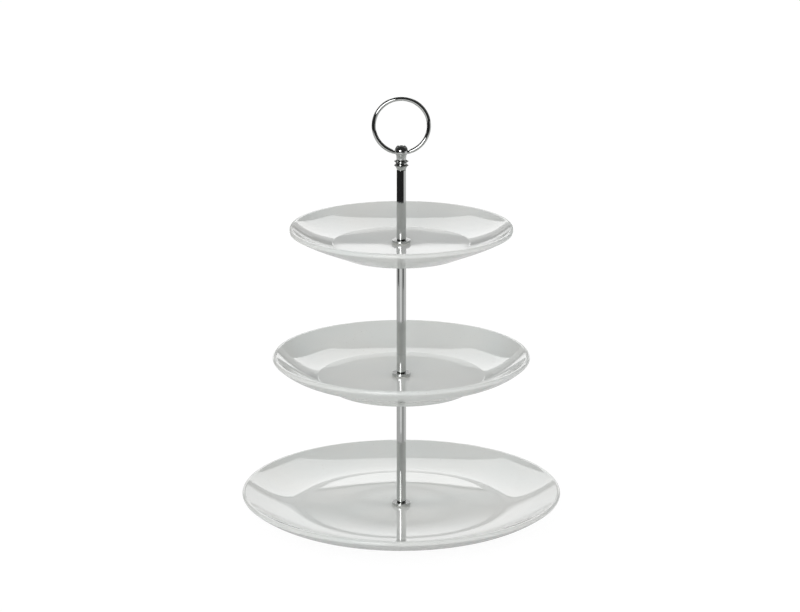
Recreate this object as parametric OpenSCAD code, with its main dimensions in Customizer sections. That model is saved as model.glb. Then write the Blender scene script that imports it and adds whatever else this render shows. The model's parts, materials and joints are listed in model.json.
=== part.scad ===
// Three-tier cake stand: glazed dishes clamped on a bright rod, with a tilting carrying ring.
// The origin is the middle of the large dish's foot ring, on the table. +Z is up, the ring faces -Y.

/* [Large plate] */
// Widest diameter of the large plate
large_d = 270; // [230:1:300]
// Diameter of the edge between its well and its wall
large_well_d = 168; // [140:1:185]
// Height of the middle of its lip above the middle of its well
large_rise = 12.8; // [9:0.1:24]
// Thickness of its body at the well
large_t = 5.4; // [4.4:0.1:8]
// Diameter of its foot ring where it stands
large_foot_d = 150; // [110:1:165]
// Height of its foot ring, which hides the base screw
large_foot_h = 4.9; // [3.6:0.1:9]
// Height that its well gains from its flat middle to its edge
large_dish = 1.2; // [0.1:0.1:1.6]
// Height that the flat ring round its well gains
large_verge = 0.05; // [0.05:0.05:0.8]
// Slope of its wall where it leaves the well, in degrees
large_wall_start = 1; // [0:1:20]
// Slope of its wall at the lip, in degrees
large_wall_end = 29; // [15:1:50]
// Slope of its underside where it leaves the foot, in degrees
large_under_start = 20; // [5:1:45]
// Slope of its underside at the lip, in degrees
large_under_end = 39; // [20:1:55]

/* [Medium plate] */
// Widest diameter of the medium plate
medium_d = 216; // [185:1:240]
// Diameter of the edge between its well and its wall
medium_well_d = 135; // [110:1:150]
// Height of the middle of its lip above the middle of its well
medium_rise = 16.7; // [9:0.1:26]
// Thickness of its body at the well
medium_t = 5.0; // [4.4:0.1:8]
// Diameter of its foot ring where it stands
medium_foot_d = 121; // [90:1:128]
// Height of its foot ring
medium_foot_h = 3.6; // [2.6:0.1:8]
// Height that its well gains from its flat middle to its edge
medium_dish = 0.3; // [0.1:0.1:1.6]
// Height that the flat ring round its well gains
medium_verge = 0.05; // [0.05:0.05:0.8]
// Slope of its wall where it leaves the well, in degrees
medium_wall_start = 15; // [0:1:30]
// Slope of its wall at the lip, in degrees
medium_wall_end = 38; // [15:1:50]
// Slope of its underside where it leaves the foot, in degrees
medium_under_start = 38; // [5:1:45]
// Slope of its underside at the lip, in degrees
medium_under_end = 44; // [20:1:55]

/* [Small plate] */
// Widest diameter of the small plate
small_d = 187; // [150:1:210]
// Diameter of the edge between its well and its wall
small_well_d = 109; // [90:1:130]
// Height of the middle of its lip above the middle of its well
small_rise = 12.1; // [8:0.1:22]
// Thickness of its body at the well
small_t = 5.0; // [4.4:0.1:8]
// Diameter of its foot ring where it stands
small_foot_d = 103; // [70:1:112]
// Height of its foot ring
small_foot_h = 3.4; // [2.6:0.1:8]
// Height that its well gains from its flat middle to its edge
small_dish = 0.3; // [0.1:0.1:1.6]
// Height that the flat ring round its well gains
small_verge = 0.05; // [0.05:0.05:0.8]
// Slope of its wall where it leaves the well, in degrees
small_wall_start = 14; // [0:1:30]
// Slope of its wall at the lip, in degrees
small_wall_end = 30; // [15:1:50]
// Slope of its underside where it leaves the foot, in degrees
small_under_start = 24; // [5:1:45]
// Slope of its underside at the lip, in degrees
small_under_end = 31; // [20:1:55]

/* [All plates] */
// Thickness of the rounded lip
lip_t = 4.2; // [3:0.1:6]
// Diameter of the hole drilled through each plate
hole_d = 10; // [8.5:0.1:14]
// Width of the foot ring where it stands
foot_w = 4.6; // [3.2:0.1:8]
// Rounding of the foot ring's edges
foot_round = 0.9; // [0.3:0.1:1.4]
// Part of the well's radius that is flat
well_flat = 0.4; // [0.2:0.05:0.8]
// Width of the flat ring between the well and the wall
verge_w = 2.4; // [0.4:0.1:4]

/* [Rod] */
// Diameter of the rod
rod_d = 8; // [6.6:0.1:12]
// Length of each rod between two plates
tier_rod_l = 105; // [70:1:150]
// Length of the rod between the small plate and the finial
top_rod_l = 59.5; // [50:0.5:90]
// Chamfer round the lower end of each rod
rod_foot_chamfer = 0.8; // [0.2:0.1:1]
// Chamfer round the upper end of each rod
rod_head_chamfer = 0.3; // [0.1:0.1:0.8]

/* [Fixings] */
// Diameter of the screw thread that joins the rods
thread_d = 5; // [4:0.5:6]
// Depth of the tapped hole in each end of a rod
tapped_depth = 15; // [12:0.5:20]
// Length of thread engaged in each tapped hole
engaged = 12; // [6:0.5:14]
// Diameter of the collar that each rod stands on
collar_d = 15.6; // [14:0.1:22]
// Thickness of the collar
collar_t = 2.2; // [1.2:0.1:4]
// Diameter of the soft washers against the glaze
pad_d = 14; // [13:0.1:20]
// Thickness of the soft washers' flanges
pad_t = 0.8; // [0.5:0.1:2]
// Length of the soft washer's boss inside the plate's hole
boss_l = 1.9; // [1:0.1:2]
// Diameter of the metal washers below the upper plates
washer_d = 14.6; // [13:0.1:20]
// Thickness of the metal washers below the upper plates
washer_t = 1.2; // [0.8:0.1:2.5]
// Diameter of the metal washer over the base screw's head
base_washer_d = 18; // [16:0.1:26]
// Thickness of the metal washer over the base screw's head
base_washer_t = 0.9; // [0.6:0.1:1]
// Diameter of the base screw's low head
head_d = 11; // [9:0.1:14]
// Height of the base screw's low head
head_h = 1.6; // [1.4:0.1:1.6]
// Width across the flats of the hexagon socket in the head
socket_af = 3; // [2.5:0.5:4]
// Depth of the hexagon socket in the head
socket_depth = 1.1; // [0.6:0.1:1.2]

/* [Finial] */
// Diameter of the ball that holds the ring
ball_d = 11.2; // [10:0.1:16]
// Height of the ball's middle above the top of the rod
ball_up = 15.8; // [14.5:0.1:24]
// Diameter of the neck under the ball
neck_d = 8.2; // [6:0.1:9]
// Diameter of the two sharp beads
bead_d = 12.2; // [10.5:0.1:16]
// Height of the lower bead's edge above the top of the rod
bead_up = 3.8; // [3.4:0.1:5]
// Distance between the two beads' edges
bead_pitch = 3.5; // [2.6:0.1:4.5]
// Height of each bead from its lower to its upper foot
bead_h = 2.6; // [1.6:0.1:3.4]
// Diameter of the waist between the beads
waist_d = 9.4; // [8.5:0.1:10]

/* [Ring] */
// Outer diameter of the carrying ring
ring_d = 49; // [42:0.5:70]
// Diameter of the ring's wire
wire_d = 3; // [2:0.1:4]
// How much thinner the wire is at its dressed ends, which turn in the ball
end_dress = 0.1; // [0.1:0.05:0.3]
// Radius of the small bends where the wire turns into the ball
ring_bend_r = 4; // [3:0.1:6]
// How far the ring's pins turn below the ball's middle
pin_drop = 0.9; // [0:0.1:1.4]
// Gap left between the ends of the two pins inside the ball
pin_end_gap = 2.4; // [1:0.1:4]

/* [Hidden] */

$fn = 96;
glaze = "whitesmoke";
chrome = "silver";
steel = "lightgray";
soft = "gainsboro";

// Clearances
thread_gap = 0.05;   // radial, thread in a tapped hole
shank_gap = 0.2;     // radial, thread in a plain hole
boss_gap = 0.2;      // radial, boss in a plate's hole
pin_gap = 0.05;      // radial, ring's pins in the ball
ring_side_gap = 0.35; // between the ball and the ring's bends
cut = 1;             // how far a cutter runs past a face

// Edges
disc_edge = 0.3;     // chamfer of collars and washers
bead_land = 0.3;     // flat left on a bead's sharp edge
foot_fillet = 1.4;   // between the foot ring and the body
foot_draft = 0.3;    // lean of the inner side of the foot ring
lip_step = 12;       // degrees between the end of a slope and the first point of the lip's arc
foot_step = 5;       // degrees between the end of a slope and the first point of the foot's edge
ball_seat = 0.25;    // how far below the ball's middle its neck ends, as a part of its diameter

// A plate as one list: diameter, well diameter, rise, thickness, foot diameter, foot height,
// dish and flat ring of the well, slopes of the wall, slopes of the underside
LARGE = [large_d, large_well_d, large_rise, large_t, large_foot_d, large_foot_h,
         large_dish, large_verge, large_wall_start, large_wall_end,
         large_under_start, large_under_end];
MEDIUM = [medium_d, medium_well_d, medium_rise, medium_t, medium_foot_d, medium_foot_h,
          medium_dish, medium_verge, medium_wall_start, medium_wall_end,
          medium_under_start, medium_under_end];
SMALL = [small_d, small_well_d, small_rise, small_t, small_foot_d, small_foot_h,
         small_dish, small_verge, small_wall_start, small_wall_end,
         small_under_start, small_under_end];
function rim_r(p) = p[0] / 2;
function well_r(p) = p[1] / 2;
function rise(p) = p[2];
function body_t(p) = p[3];
function foot_r(p) = p[4] / 2;
function foot_h(p) = p[5];
function dish(p) = p[6];
function verge(p) = p[7];
function wall_start(p) = p[8];
function wall_end(p) = p[9];
function under_start(p) = p[10];
function under_end(p) = p[11];
function well_top(p) = foot_h(p) + body_t(p);

// Heights up the stand. A joint is the stack of collar, pads, plate and washer between two rods.
above_well = pad_t + collar_t;
below_plate = pad_t + washer_t;
rod1_z = well_top(LARGE) + above_well;
medium_z = rod1_z + tier_rod_l + below_plate - foot_h(MEDIUM);
rod2_z = medium_z + well_top(MEDIUM) + above_well;
small_z = rod2_z + tier_rod_l + below_plate - foot_h(SMALL);
rod3_z = small_z + well_top(SMALL) + above_well;
finial_z = rod3_z + top_rod_l;

// Ring: one round arc, two small bends of opposite ends, and two pins on one line through the ball
wire_r = wire_d / 2;
pin_r = wire_r - end_dress / 2;
ring_r = ring_d / 2 - wire_r;
pin_z = ball_up - pin_drop;
bend_x = ball_d / 2 + ring_side_gap;
bend_angle = asin(bend_x / (ring_r - ring_bend_r));
bend_into = 5;       // how far each bend runs on inside the wire, in degrees
ring_up = (ring_r - ring_bend_r) * cos(bend_angle) + ring_bend_r;

// Points of a cubic that leaves [r0, z0] at slope a0 and arrives at [r1, z1] at slope a1
function wall(r0, z0, a0, r1, z1, a1, n) =
    let (w = r1 - r0)
    [for (i = [0:n])
        let (t = i / n)
        [r0 + w * t,
         z0 * (2 * t ^ 3 - 3 * t ^ 2 + 1) + w * tan(a0) * (t ^ 3 - 2 * t ^ 2 + t)
         + z1 * (3 * t ^ 2 - 2 * t ^ 3) + w * tan(a1) * (t ^ 3 - t ^ 2)]];

function arc(x, y, r, a0, a1, n) =
    [for (i = [0:n]) let (a = a0 + (a1 - a0) * i / n) [x + r * cos(a), y + r * sin(a)]];

function reversed(v) = [for (i = [len(v) - 1:-1:0]) v[i]];

// Half section of a plate, from its hole over the well and lip, back along the underside
function plate_section(p) =
    let (
        lip_r = lip_t / 2,
        lip_x = rim_r(p) - lip_r,
        lip_z = well_top(p) + rise(p),
        flat_r = well_r(p) * well_flat,
        edge_z = well_top(p) + dish(p),
        a1 = wall_end(p),
        b0 = under_start(p),
        b1 = under_end(p),
        foot_in = foot_r(p) - foot_w,
        top = foot_h(p)
    )
    concat(
        [[hole_d / 2, well_top(p)]],
        [for (i = [0:8]) let (t = i / 8) [flat_r + (well_r(p) - flat_r) * t, well_top(p) + dish(p) * t ^ 2]],
        wall(well_r(p) + verge_w, edge_z + verge(p), wall_start(p),
             lip_x - lip_r * sin(a1), lip_z + lip_r * cos(a1), a1, 20),
        arc(lip_x, lip_z, lip_r, 90 + a1 - lip_step, b1 - 90 + lip_step, 14),
        reversed(wall(foot_r(p) + foot_round * sin(b0), foot_round * (1 - cos(b0)), b0,
                      lip_x + lip_r * sin(b1), lip_z - lip_r * cos(b1), b1, 20)),
        arc(foot_r(p), foot_round, foot_round, b0 - 90 - foot_step, -90, 3),
        arc(foot_in + foot_draft + foot_round, foot_round, foot_round, 270, 180, 5),
        arc(foot_in - foot_fillet, top - foot_fillet, foot_fillet, 0, 90, 5),
        [[hole_d / 2, top]]
    );

module plate(p) {
    rotate_extrude() polygon(plate_section(p));
}

// Disc with chamfered rims and a plain hole for the thread
module disc(d, t, edge = disc_edge) {
    r = d / 2;
    hole = thread_d / 2 + shank_gap;
    rotate_extrude()
        polygon([[hole, 0], [r - edge, 0], [r, edge], [r, t - edge], [r - edge, t], [hole, t]]);
}

// Soft washer whose boss centres the plate: side is 1 above the plate and -1 below it
module pad(side) {
    r = pad_d / 2;
    hole = thread_d / 2 + shank_gap;
    boss_r = hole_d / 2 - boss_gap;
    rotate_extrude()
        polygon([[hole, -side * boss_l], [boss_r, -side * boss_l], [boss_r, 0], [r, 0],
                 [r, side * pad_t], [hole, side * pad_t]]);
}

// Rod with a tapped hole in each end, standing on its collar
module rod(l) {
    r = rod_d / 2;
    tap_r = thread_d / 2 + thread_gap;
    difference() {
        rotate_extrude()
            polygon([[0, 0], [r - rod_foot_chamfer, 0], [r, rod_foot_chamfer],
                     [r, l - rod_head_chamfer], [r - rod_head_chamfer, l], [0, l]]);
        translate([0, 0, -cut]) cylinder(r = tap_r, h = tapped_depth + cut);
        translate([0, 0, l - tapped_depth]) cylinder(r = tap_r, h = tapped_depth + cut);
    }
}

// Stud that joins two rods through the plate at plate_z
module stud(p, plate_z) {
    low = plate_z + foot_h(p) - below_plate - engaged;
    high = plate_z + well_top(p) + above_well + engaged;
    translate([0, 0, low]) cylinder(d = thread_d, h = high - low);
}

module large_plate() { color(glaze) plate(LARGE); }
module medium_plate() { color(glaze) translate([0, 0, medium_z]) plate(MEDIUM); }
module small_plate() { color(glaze) translate([0, 0, small_z]) plate(SMALL); }

module lower_rod() { color(chrome) translate([0, 0, rod1_z]) rod(tier_rod_l); }
module middle_rod() { color(chrome) translate([0, 0, rod2_z]) rod(tier_rod_l); }
module upper_rod() { color(chrome) translate([0, 0, rod3_z]) rod(top_rod_l); }

module lower_stud() { color(steel) stud(MEDIUM, medium_z); }
module upper_stud() { color(steel) stud(SMALL, small_z); }

module large_collar() { color(chrome) translate([0, 0, rod1_z - collar_t]) disc(collar_d, collar_t); }
module medium_collar() { color(chrome) translate([0, 0, rod2_z - collar_t]) disc(collar_d, collar_t); }
module small_collar() { color(chrome) translate([0, 0, rod3_z - collar_t]) disc(collar_d, collar_t); }

module medium_washer() {
    color(steel) translate([0, 0, rod1_z + tier_rod_l]) disc(washer_d, washer_t);
}
module small_washer() {
    color(steel) translate([0, 0, rod2_z + tier_rod_l]) disc(washer_d, washer_t);
}

module large_upper_pad() { color(soft) translate([0, 0, well_top(LARGE)]) pad(1); }
module large_lower_pad() { color(soft) translate([0, 0, foot_h(LARGE)]) pad(-1); }
module medium_upper_pad() { color(soft) translate([0, 0, medium_z + well_top(MEDIUM)]) pad(1); }
module medium_lower_pad() { color(soft) translate([0, 0, medium_z + foot_h(MEDIUM)]) pad(-1); }
module small_upper_pad() { color(soft) translate([0, 0, small_z + well_top(SMALL)]) pad(1); }
module small_lower_pad() { color(soft) translate([0, 0, small_z + foot_h(SMALL)]) pad(-1); }

module base_washer() {
    color(steel) translate([0, 0, large_foot_h - pad_t - base_washer_t]) disc(base_washer_d, base_washer_t);
}

// Screw that pulls the large plate up against the lowest rod
module base_screw() {
    head_top = large_foot_h - pad_t - base_washer_t;
    color(steel) difference() {
        union() {
            translate([0, 0, head_top - head_h]) rotate_extrude()
                polygon([[0, 0], [head_d / 2 - head_h / 2, 0], [head_d / 2, head_h / 2],
                         [head_d / 2, head_h], [0, head_h]]);
            translate([0, 0, head_top - cut / 2])
                cylinder(d = thread_d, h = rod1_z + engaged - head_top + cut / 2);
        }
        translate([0, 0, head_top - head_h - cut])
            cylinder(d = socket_af / cos(30), h = socket_depth + cut, $fn = 6);
    }
}

// Turned knob: cone, two beads, neck and ball, with a cross hole for the ring and a spigot below
module finial() {
    bead_r = bead_d / 2;
    waist_r = waist_d / 2;
    low = bead_up - bead_h / 2;
    high = bead_up + bead_pitch + bead_h / 2;
    neck_top = ball_up - ball_d * ball_seat;
    color(chrome) translate([0, 0, finial_z]) difference() {
        union() {
            translate([0, 0, ball_up]) sphere(d = ball_d);
            rotate_extrude() polygon([
                [0, 0], [rod_d / 2 - rod_head_chamfer, 0], [waist_r, low],
                [bead_r, bead_up - bead_land / 2], [bead_r, bead_up + bead_land / 2],
                [waist_r, bead_up + bead_h / 2], [waist_r, bead_up + bead_pitch - bead_h / 2],
                [bead_r, bead_up + bead_pitch - bead_land / 2],
                [bead_r, bead_up + bead_pitch + bead_land / 2],
                [neck_d / 2, high], [neck_d / 2, neck_top], [0, neck_top]]);
            translate([0, 0, -engaged]) cylinder(d = thread_d, h = engaged + cut);
        }
        translate([0, 0, pin_z]) rotate([0, 90, 0])
            cylinder(r = pin_r + pin_gap, h = ball_d + 2 * cut, center = true);
    }
}

// Carrying ring, upright, turning on its two pins
module ring() {
    color(chrome) translate([0, 0, finial_z + pin_z]) {
        translate([0, 0, ring_up]) rotate([90, 0, 0])
            rotate([0, 0, -90 + bend_angle]) rotate_extrude(angle = 360 - 2 * bend_angle)
                translate([ring_r, 0]) circle(r = wire_r);
        for (side = [0, 1]) mirror([side, 0, 0]) {
            translate([bend_x, 0, ring_bend_r]) rotate([90, 0, 0])
                rotate([0, 0, -90]) rotate_extrude(angle = bend_angle + bend_into)
                    translate([ring_bend_r, 0]) circle(r = pin_r);
            translate([pin_end_gap / 2, 0, 0]) rotate([0, 90, 0])
                cylinder(r = pin_r, h = bend_x - pin_end_gap / 2);
        }
    }
}

large_plate();
medium_plate();
small_plate();
lower_rod();
middle_rod();
upper_rod();
lower_stud();
upper_stud();
base_screw();
base_washer();
large_collar();
medium_collar();
small_collar();
medium_washer();
small_washer();
large_upper_pad();
large_lower_pad();
medium_upper_pad();
medium_lower_pad();
small_upper_pad();
small_lower_pad();
finial();
ring();
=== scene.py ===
"""Looks of a three-tier cake stand: glazed plates on a chromed rod, with a finial and a carrying ring.

Every piece is turned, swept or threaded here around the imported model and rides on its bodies.
Lengths are in metres and angles in degrees. The stand's axis is X = Y = 0 and its front faces -Y.
"""

import json
import logging
import math
from collections.abc import Sequence
from dataclasses import dataclass, field
from enum import Enum

import bmesh
import bpy
from mathutils import Matrix, Vector


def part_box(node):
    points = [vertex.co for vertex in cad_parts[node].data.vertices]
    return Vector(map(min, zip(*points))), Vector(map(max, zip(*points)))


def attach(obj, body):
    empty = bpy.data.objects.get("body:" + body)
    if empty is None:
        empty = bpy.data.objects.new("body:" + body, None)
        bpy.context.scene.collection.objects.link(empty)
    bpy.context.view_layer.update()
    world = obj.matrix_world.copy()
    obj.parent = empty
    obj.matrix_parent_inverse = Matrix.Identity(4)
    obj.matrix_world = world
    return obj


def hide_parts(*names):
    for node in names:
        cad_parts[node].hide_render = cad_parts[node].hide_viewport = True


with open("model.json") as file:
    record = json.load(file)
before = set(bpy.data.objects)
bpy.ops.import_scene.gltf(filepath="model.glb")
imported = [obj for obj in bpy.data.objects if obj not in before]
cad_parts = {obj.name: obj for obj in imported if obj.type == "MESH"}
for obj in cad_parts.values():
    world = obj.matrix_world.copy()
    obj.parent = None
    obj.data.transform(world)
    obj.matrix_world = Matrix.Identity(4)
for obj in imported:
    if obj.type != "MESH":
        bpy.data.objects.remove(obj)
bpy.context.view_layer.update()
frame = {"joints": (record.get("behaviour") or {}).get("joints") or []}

log = logging.getLogger("cake_stand")

MM = 0.001
POLE = 1e-7  # a turned point nearer to the axis than this lies on it
STRAIGHT = 1e-3  # a corner within this many radians of straight isn't rounded
FLANK = 0.25  # share of a corner's radius between its arc and its flanking points
SHARP = 35  # angle above which the edge between two faces stays sharp
DOWNWARD = -0.5  # a face whose normal falls more steeply than this looks down

Point = tuple[float, float]
Span = tuple[float, float]
Triple = tuple[float, float, float]
Colour = Triple
Ring = Sequence[bmesh.types.BMVert]
Socket = bpy.types.NodeSocket


class Slot(Enum):
    """The record's material slots."""

    GLAZE = "glaze"
    CHROME = "chrome"
    FIXING = "fixing"
    PAD = "pad"


class Side(Enum):
    """Which face of a plate a soft washer lies on."""

    ABOVE = 1
    BELOW = -1


# ---------------------------------------------------------------------------------------------
# Outlines
# ---------------------------------------------------------------------------------------------


def arc(centre: Point, radius: float, start: float, end: float, steps: int) -> list[Point]:
    """Points along a circular arc.

    Args:
        centre: middle of the arc.
        radius: radius of the arc.
        start: angle of the first point.
        end: angle of the last point.
        steps: number of equal steps.

    Returns:
        The steps + 1 points from start to end.
    """
    angles = [math.radians(start + (end - start) * i / steps) for i in range(steps + 1)]
    return [(centre[0] + radius * math.cos(a), centre[1] + radius * math.sin(a)) for a in angles]


def sweep(first: Point, leave: float, last: Point, arrive: float, steps: int) -> list[Point]:
    """Points of a cubic between two points with a given slope at each.

    Args:
        first: where the curve starts.
        leave: slope at the start.
        last: where the curve ends.
        arrive: slope at the end.
        steps: number of equal steps outward.

    Returns:
        The steps + 1 points from first to last.
    """
    run = last[0] - first[0]
    rise_out = run * math.tan(math.radians(leave))
    rise_in = run * math.tan(math.radians(arrive))
    points = []
    for i in range(steps + 1):
        t = i / steps
        z = first[1] * (2 * t**3 - 3 * t**2 + 1) + rise_out * (t**3 - 2 * t**2 + t)
        z += last[1] * (3 * t**2 - 2 * t**3) + rise_in * (t**3 - t**2)
        points.append((first[0] + run * t, z))
    return points


def round_corners(corners: Sequence[Point], radii: Sequence[float], steps: int = 6) -> list[Point]:
    """Replaces the corners of a closed outline with small arcs.

    Each arc gets one more point on either side of it, a FLANK of its radius away, so that the
    straights beside it stay straight to the eye once the turned surface is shaded smooth. A corner
    that is STRAIGHT to within that many radians is left alone.

    Args:
        corners: the outline's corners, in order.
        radii: rounding radius of each corner, 0 for a corner that stays sharp.
        steps: number of steps in each arc.

    Returns:
        The points of the rounded outline.
    """
    points = [Vector(corner) for corner in corners]
    count = len(points)
    ways = [(points[(i + 1) % count] - points[i]).normalized() for i in range(count)]
    halves = [(-ways[i - 1]).angle(ways[i]) / 2 for i in range(count)]
    kept = [r if math.pi / 2 - half > STRAIGHT else 0 for r, half in zip(radii, halves)]
    runs = [r / math.tan(half) for r, half in zip(kept, halves)]
    rounded = []
    for i, (here, radius, half, run) in enumerate(zip(points, kept, halves, runs)):
        if radius == 0:
            rounded.append(tuple(here))
            continue
        back, ahead = -ways[i - 1], ways[i]
        middle = here + (back + ahead).normalized() * radius / math.sin(half)
        first = here + back * run - middle
        last = here + ahead * run - middle
        turn = first.angle(last)
        before = (here - points[i - 1]).length - run - runs[i - 1]
        after = (points[(i + 1) % count] - here).length - run - runs[(i + 1) % count]
        rounded.append(tuple(middle + first + back * min(radius, before) * FLANK))
        for k in range(steps + 1):
            share = k / steps
            point = first * math.sin((1 - share) * turn) + last * math.sin(share * turn)
            rounded.append(tuple(middle + point / math.sin(turn)))
        rounded.append(tuple(middle + last + ahead * min(radius, after) * FLANK))
    return rounded


# ---------------------------------------------------------------------------------------------
# Meshes
# ---------------------------------------------------------------------------------------------


def smooth(mesh: bpy.types.Mesh, sharp: float = SHARP) -> None:
    """Shades a mesh smooth but for its edges above the sharp angle."""
    mesh.shade_smooth()
    mesh.set_sharp_from_angle(angle=math.radians(sharp))


def finish_mesh(shape: bmesh.types.BMesh, name: str, sharp: float = SHARP) -> bpy.types.Object:
    """Turns a bmesh into a linked object with smooth shading between its sharp edges.

    Args:
        shape: the bmesh, which is freed.
        name: name of the object and its mesh.
        sharp: angle between two faces above which their edge stays sharp.

    Returns:
        The new object.
    """
    bmesh.ops.recalc_face_normals(shape, faces=shape.faces)
    mesh = bpy.data.meshes.new(name)
    shape.to_mesh(mesh)
    shape.free()
    smooth(mesh, sharp)
    piece = bpy.data.objects.new(name, mesh)
    bpy.context.scene.collection.objects.link(piece)
    return piece


def around(sides: int) -> list[float]:
    """Gives the equal turns of a full circle, in radians."""
    return [math.tau * k / sides for k in range(sides)]


def bridge(shape: bmesh.types.BMesh, ring: Ring, other: Ring) -> None:
    """Joins two rings of points, or a ring and a single point on the axis, by a band of faces.

    Args:
        shape: the bmesh that holds them.
        ring: the first ring, or a single point.
        other: the second ring, or a single point.
    """
    sides = max(len(ring), len(other))
    if sides == 1:
        return
    for k in range(sides):
        after = (k + 1) % sides
        if len(ring) == 1:
            shape.faces.new((ring[0], other[after], other[k]))
        elif len(other) == 1:
            shape.faces.new((ring[k], ring[after], other[0]))
        else:
            shape.faces.new((ring[k], ring[after], other[after], other[k]))


def close_bar(shape: bmesh.types.BMesh, rings: Sequence[Ring]) -> None:
    """Covers a row of rings and caps its two ends.

    Args:
        shape: the bmesh that holds them.
        rings: the rings, in order.
    """
    for ring, other in zip(rings, rings[1:]):
        bridge(shape, ring, other)
    shape.faces.new(rings[0])
    shape.faces.new(rings[-1])


def strip(shape: bmesh.types.BMesh, rows: Sequence[Ring]) -> None:
    """Covers a row of point pairs with one face between each two pairs."""
    for row, other in zip(rows, rows[1:]):
        shape.faces.new((row[0], row[1], other[1], other[0]))


def lathe(
    name: str, outline: Sequence[Point], segments: int = 96, sharp: float = SHARP
) -> bpy.types.Object:
    """Turns a closed outline of radii and heights about the stand's own axis.

    Args:
        name: name of the new object.
        outline: the closed half section as (radius, height) points.
        segments: number of faces round the axis.
        sharp: angle above which an edge stays sharp.

    Returns:
        The turned solid.
    """
    shape = bmesh.new()
    rings = []
    for radius, height in outline:
        if radius < POLE:
            points = [(0, 0, height)]
        else:
            points = [(radius * math.cos(a), radius * math.sin(a), height) for a in around(segments)]
        rings.append([shape.verts.new(point) for point in points])
    for ring, other in zip(rings, [*rings[1:], rings[0]]):
        bridge(shape, ring, other)
    return finish_mesh(shape, name, sharp)


def tube(
    name: str, path: Sequence[Vector], radii: Sequence[float], sides: int = 40
) -> bpy.types.Object:
    """Sweeps a round wire along a path that lies in the XZ plane.

    Args:
        name: name of the new object.
        path: points of the wire's centre line.
        radii: radius of the wire at each point.
        sides: number of faces round the wire.

    Returns:
        The closed tube.
    """
    shape = bmesh.new()
    rings = []
    across = Vector((0, 1, 0))
    for i, (point, radius) in enumerate(zip(path, radii)):
        along = (path[min(i + 1, len(path) - 1)] - path[max(i - 1, 0)]).normalized()
        out = along.cross(across)
        spokes = [math.cos(a) * out + math.sin(a) * across for a in around(sides)]
        rings.append([shape.verts.new(point + radius * spoke) for spoke in spokes])
    close_bar(shape, rings)
    return finish_mesh(shape, name)


def cutter(
    name: str, radius: float, length: float, sides: int, up: float, across: bool = False
) -> bpy.types.Object:
    """Makes a straight bar whose middle lies on the stand's axis.

    Args:
        name: name of the new object.
        radius: radius over the bar's edges.
        length: length of the bar.
        sides: number of flat sides.
        up: height of its middle.
        across: lay the bar along X instead of standing it on end.

    Returns:
        The bar.
    """
    shape = bmesh.new()
    bmesh.ops.create_cone(
        shape, cap_ends=True, segments=sides, depth=length, radius1=radius, radius2=radius
    )
    if across:
        bmesh.ops.rotate(shape, verts=shape.verts, matrix=Matrix.Rotation(math.radians(90), 3, "Y"))
    bmesh.ops.translate(shape, verts=shape.verts, vec=(0, 0, up))
    return finish_mesh(shape, name)


@dataclass(frozen=True)
class ScrewThread:
    """A right-hand V thread on a bar that stands on the stand's axis.

    Its depth is a share of the pitch, and a flank_share above 1 leaves the crests flat.
    """

    radius: float
    pitch: float = 0.8 * MM
    depth_share: float = 0.61
    flank_share: float = 1.25
    sides: int = 24
    steps_per_pitch: int = 8
    sharp: float = 50

    def reach(self, up: float, turn: float, room: float) -> float:
        """Finds how far the surface stands from the axis.

        Args:
            up: height above the bar's lower end.
            turn: share of a full turn round the axis.
            room: distance to the nearer end, where the crests are chamfered.

        Returns:
            The distance.
        """
        depth = self.depth_share * self.pitch
        phase = (up / self.pitch - turn) % 1.0
        groove = depth * max(0.0, 1 - abs(2 * phase - 1) * self.flank_share)
        return min(self.radius - groove, self.radius - depth + min(room, depth))

    def bar(self, name: str, low: float, high: float) -> bpy.types.Object:
        """Cuts the thread on a bar from end to end.

        Args:
            name: name of the new object.
            low: height of the bar's lower end.
            high: height of its upper end.

        Returns:
            The threaded bar.
        """
        shape = bmesh.new()
        count = round((high - low) / self.pitch * self.steps_per_pitch)
        rings = []
        for i in range(count + 1):
            height = low + (high - low) * i / count
            room = min(height - low, high - height)
            ring = []
            for k in range(self.sides):
                turn = k / self.sides
                reach = self.reach(height - low, turn, room)
                angle = math.tau * turn
                ring.append(shape.verts.new((reach * math.cos(angle), reach * math.sin(angle), height)))
            rings.append(ring)
        close_bar(shape, rings)
        return finish_mesh(shape, name, self.sharp)


def carve(piece: bpy.types.Object, tool: bpy.types.Object, join: bool = False) -> None:
    """Cuts one object out of another, or joins the two, and deletes the tool.

    Args:
        piece: the object that is changed.
        tool: the tool, which is deleted.
        join: join the tool to the piece instead of cutting it out.
    """
    bench = piece.modifiers.new("bench", "BOOLEAN")
    bench.operation = "UNION" if join else "DIFFERENCE"
    bench.solver = "EXACT"
    bench.object = tool
    bpy.context.view_layer.update()
    graph = bpy.context.evaluated_depsgraph_get()
    mesh = bpy.data.meshes.new_from_object(piece.evaluated_get(graph))
    old = piece.data
    piece.modifiers.clear()
    mesh.name = old.name
    piece.data = mesh
    bpy.data.meshes.remove(old)
    tool_mesh = tool.data
    bpy.data.objects.remove(tool)
    bpy.data.meshes.remove(tool_mesh)
    smooth(mesh)


def place(piece: bpy.types.Object, node: str, body: str, slot: Slot, *materials: bpy.types.Material) -> None:
    """Gives a piece its finish, its body and the solid that it stands for.

    Args:
        piece: the finished object.
        node: name of the solid that it replaces.
        body: name of the body that it rides on.
        slot: the record's slot of its finish; not used.
        materials: its materials, by face index.
    """
    piece.data.materials.clear()
    for material in materials:
        piece.data.materials.append(material)
    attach(piece, body)
    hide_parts(node)
    log.info("%s: %d faces on %s", piece.name, len(piece.data.polygons), body)


# ---------------------------------------------------------------------------------------------
# Finishes
# ---------------------------------------------------------------------------------------------


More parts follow.
